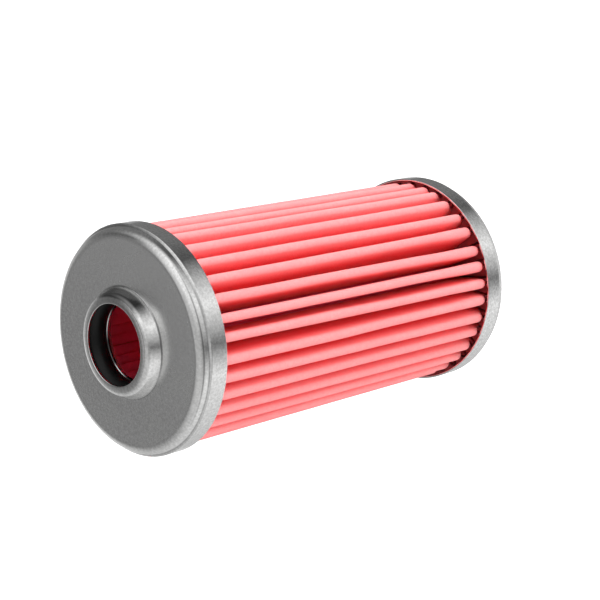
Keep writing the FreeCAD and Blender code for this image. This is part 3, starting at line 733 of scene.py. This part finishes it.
def build_paper():
    zs, loops, (CREST, LEG, VALLEY) = paper()
    a, b = loops["out"], loops["in"]
    n = a.shape[1]
    nz = len(zs)
    per = n // PLEATS
    # the crest of the seam's pleat is open: drop the faces of its middle
    co_a = np.concatenate([a, np.repeat(zs[:, None, None], n, 1)], -1).reshape(-1, 3)
    co_b = np.concatenate([b, np.repeat(zs[:, None, None], n, 1)], -1).reshape(-1, 3)
    co = np.concatenate([co_a, co_b])
    base_b = len(co_a)
    i = np.arange(nz - 1)[:, None]
    mid = LEG + (CREST - 2) // 2                      # index of the crest's top in a pleat
    open_lo, open_hi = mid - 3, mid + 2               # open between these in pleat 0
    j = np.array([q for q in range(n) if not (open_lo <= q < open_hi)])
    jn = (j + 1) % n
    outer_faces = np.stack([i * n + j, i * n + jn, (i + 1) * n + jn, (i + 1) * n + j], -1).reshape(-1, 4)
    inner_faces = np.stack([base_b + i * n + jn, base_b + i * n + j, base_b + (i + 1) * n + j, base_b + (i + 1) * n + jn], -1).reshape(-1, 4)
    low = np.stack([j, base_b + j, base_b + jn, jn], -1)
    hi0 = (nz - 1) * n
    high = np.stack([hi0 + jn, base_b + hi0 + jn, base_b + hi0 + j, hi0 + j], -1)
    ii = np.arange(nz - 1)
    e0, e1 = open_lo, open_hi
    end0 = np.stack([ii * n + e0, (ii + 1) * n + e0, base_b + (ii + 1) * n + e0, base_b + ii * n + e0], -1)
    end1 = np.stack([base_b + ii * n + e1, base_b + (ii + 1) * n + e1, (ii + 1) * n + e1, ii * n + e1], -1)
    quads = np.concatenate([outer_faces, inner_faces, low, high, end0, end1])
    ob = mesh_object("pleated_paper_strip", co, quads)
    return ob, zs, loops, per


# ------------------------------------------------------------------ the model
cap_a = finish_piece(outlet_cap(), "plated_steel", "outlet_end_cap")
cap_b = finish_piece(closed_cap(), "plated_steel", "closed_end_cap")
ring = finish_piece(seal(), "seal_rubber", "outlet_seal")
washer = finish_piece(retainer(), "retainer_steel", "seal_retainer")
sheet, ZS, LOOPS, PER = build_paper()
finish_piece(sheet, "filter_paper", "pleated_paper")

for node, slot in (("outlet_end_potting", "potting_adhesive"), ("closed_end_potting", "potting_adhesive"),
                   ("pleat_seam_glue", "seam_glue")):
    ob = frame["nodes"][node]
    ob.data.materials.clear()
    ob.data.materials.append(MAT[slot])

# ---------------------------------------------------------------------- stage
def floor():
    n = 48
    g = np.linspace(-900, 900, n)
    xx, yy = np.meshgrid(g, g)
    co = np.stack([xx, yy, np.zeros_like(xx) - 0.02], -1).reshape(-1, 3)
    i, j = np.meshgrid(np.arange(n - 1), np.arange(n - 1), indexing="ij")
    quads = np.stack([i * n + j, i * n + j + 1, (i + 1) * n + j + 1, (i + 1) * n + j], -1).reshape(-1, 4)
    ob = mesh_object("floor", co, quads)
    m = Nodes("floor_white")
    m.bsdf.inputs["Base Color"].default_value = (0.9, 0.9, 0.9, 1)
    m.bsdf.inputs["Roughness"].default_value = 0.9
    m.bsdf.inputs["Specular IOR Level"].default_value = 0.0
    m.bsdf.inputs["Emission Color"].default_value = (1, 1, 1, 1)
    m.bsdf.inputs["Emission Strength"].default_value = 0.75
    ob.data.materials.append(m.mat)
    ob.visible_glossy = False
    ob.visible_diffuse = False
    return ob


floor()

# --------------------------------------------------------------------- camera
cam_data = bpy.data.cameras.new("camera")
cam = bpy.data.objects.new("camera", cam_data)
scene.collection.objects.link(cam)
cam_data.sensor_width = 36.0
cam_data.lens = 96.774
cam_data.clip_start, cam_data.clip_end = 0.01, 50.0
right = Vector((-0.2204432, -0.6682828, -0.7104948))
upv = Vector((0.9753861, -0.1548966, -0.1569363))
back = Vector((-0.0051753, -0.7276022, 0.6859798))
m = Matrix.Identity(4)
for r in range(3):
    m[r][0], m[r][1], m[r][2] = right[r], upv[r], back[r]
m.translation = Vector((-0.0008028, -0.2012203, 0.2230147))
cam.matrix_world = m
scene.camera = cam


# --------------------------------------------------------------------- lights
# A white tent with a few dark flags: what bright sheet metal needs to read as metal.
# Each row gives the brightness seen in a direction: the elevation above the horizon, then
# (azimuth in degrees about Z, brightness) pairs around the circle.
TOP = 1.5      # the brightest level a ramp needs to hold
GAIN = 1.2     # overall strength of the reflections
# A plain soft studio: one ring of pale cards with dark flags stands round the part, under a soft top. Rows
# give a height in degrees, then direction in degrees and brightness.
RING = [(10, 0.2), (60, 0.2), (90, 1.0), (120, 0.6), (220, 1.0), (250, 0.2), (290, 1.1), (340, 0.1)]
TENT = [
    (-90, [(0, 0.8)]),
    (-45, RING),
    (0, RING),
    (40, [(10, 0.9), (50, 0.1), (90, 0.15), (150, 0.6), (200, 0.7), (250, 0.3), (300, 1.0), (340, 1.2)]),
    (60, [(0, 1.0), (90, 0.5), (180, 0.7), (250, 0.5), (320, 1.1)]),
    (90, [(0, 0.5)]),
]


def world():
    w = bpy.data.worlds.new("tent")
    scene.world = w
    w.use_nodes = True
    nt = w.node_tree
    nt.nodes.clear()

    def node(kind, **kw):
        nd = nt.nodes.new(kind)
        for k, v in kw.items():
            setattr(nd, k, v)
        return nd

    def mth(op, a, b=None, c=None, clamp=False):
        nd = node("ShaderNodeMath", operation=op, use_clamp=clamp)
        for k, v in enumerate((a, b, c)):
            if v is None:
                continue
            if isinstance(v, (int, float)):
                nd.inputs[k].default_value = v
            else:
                nt.links.new(v, nd.inputs[k])
        return nd.outputs[0]

    tc = node("ShaderNodeTexCoord")
    sep = node("ShaderNodeSeparateXYZ")
    nt.links.new(tc.outputs["Generated"], sep.inputs[0])
    x, y, z = sep.outputs
    turn = mth("DIVIDE", mth("ARCTAN2", y, x), 2 * math.pi)
    turn = mth("FRACT", mth("ADD", turn, 1.0))
    elev = mth("DIVIDE", mth("ARCSINE", mth("MAXIMUM", mth("MINIMUM", z, 0.99999), -0.99999)), math.pi / 180)
    total = None
    previous = None
    for k, (el, stops) in enumerate(TENT):
        if len(stops) == 1:
            val = node("ShaderNodeValue")
            val.outputs[0].default_value = stops[0][1] / TOP
            level = val.outputs[0]
        else:
            rp = node("ShaderNodeValToRGB")
            rp.color_ramp.interpolation = "LINEAR"
            full = sorted((a % 360 / 360.0, v / TOP) for a, v in stops)
            first, last = full[0], full[-1]
            gap = (1 - last[0]) + first[0]
            edge = last[1] + (first[1] - last[1]) * ((1 - last[0]) / gap if gap else 0)
            if first[0] > 0:
                full = [(0.0, edge)] + full
            full = full + [(1.0, edge)]
            els = rp.color_ramp.elements
            for q, (p, v) in enumerate(full):
                e = els[q] if q < 2 else els.new(p)
                e.position = p
                e.color = (v, v, v, 1)
            nt.links.new(turn, rp.inputs[0])
            level = rp.outputs[0]
        if previous is None:
            total = level
        else:
            mr = node("ShaderNodeMapRange", interpolation_type="SMOOTHSTEP")
            nt.links.new(elev, mr.inputs["Value"])
            mr.inputs["From Min"].default_value = previous
            mr.inputs["From Max"].default_value = el
            mx = node("ShaderNodeMix", data_type="FLOAT")
            nt.links.new(mr.outputs[0], mx.inputs[0])
            nt.links.new(total, mx.inputs[2])
            nt.links.new(level, mx.inputs[3])
            total = mx.outputs[0]
        previous = el
    total = mth("MULTIPLY", total, TOP * GAIN)
    # soft light for matt surfaces: even, a little stronger from one side
    dot = node("ShaderNodeVectorMath", operation="DOT_PRODUCT")
    nt.links.new(tc.outputs["Generated"], dot.inputs[0])
    key = Vector((0.80, -0.60, 0.25)).normalized()
    dot.inputs[1].default_value = key
    soft = mth("ADD", mth("MULTIPLY", mth("POWER", mth("MAXIMUM", dot.outputs["Value"], 0.0), 1.6), 2.9), 2.35)
    # little of it comes down the filter's axis, so the core stays dark
    shade = node("ShaderNodeMapRange", interpolation_type="SMOOTHSTEP")
    nt.links.new(z, shade.inputs["Value"])
    shade.inputs["From Min"].default_value = 0.22
    shade.inputs["From Max"].default_value = 0.72
    shade.inputs["To Min"].default_value = 1.0
    shade.inputs["To Max"].default_value = 0.10
    soft = mth("MULTIPLY", soft, shade.outputs[0])
    path = node("ShaderNodeLightPath")
    bg_soft = node("ShaderNodeBackground")
    nt.links.new(soft, bg_soft.inputs["Strength"])
    bg_tent = node("ShaderNodeBackground")
    nt.links.new(total, bg_tent.inputs["Strength"])
    bg_seen = node("ShaderNodeBackground")
    bg_seen.inputs["Strength"].default_value = 1.0
    m1 = node("ShaderNodeMixShader")
    nt.links.new(path.outputs["Is Glossy Ray"], m1.inputs[0])
    nt.links.new(bg_soft.outputs[0], m1.inputs[1])
    nt.links.new(bg_tent.outputs[0], m1.inputs[2])
    m2 = node("ShaderNodeMixShader")
    nt.links.new(path.outputs["Is Camera Ray"], m2.inputs[0])
    nt.links.new(m1.outputs[0], m2.inputs[1])
    nt.links.new(bg_seen.outputs[0], m2.inputs[2])
    out = node("ShaderNodeOutputWorld")
    nt.links.new(m2.outputs[0], out.inputs[0])
    w.cycles.sampling_method = "NONE"


world()

scene.view_settings.view_transform = "Standard"
scene.view_settings.look = "None"
scene.view_settings.exposure = 0.0
scene.view_settings.gamma = 1.0
scene.render.film_transparent = False
scene.cycles.max_bounces = 12
scene.cycles.diffuse_bounces = 9
scene.cycles.glossy_bounces = 5
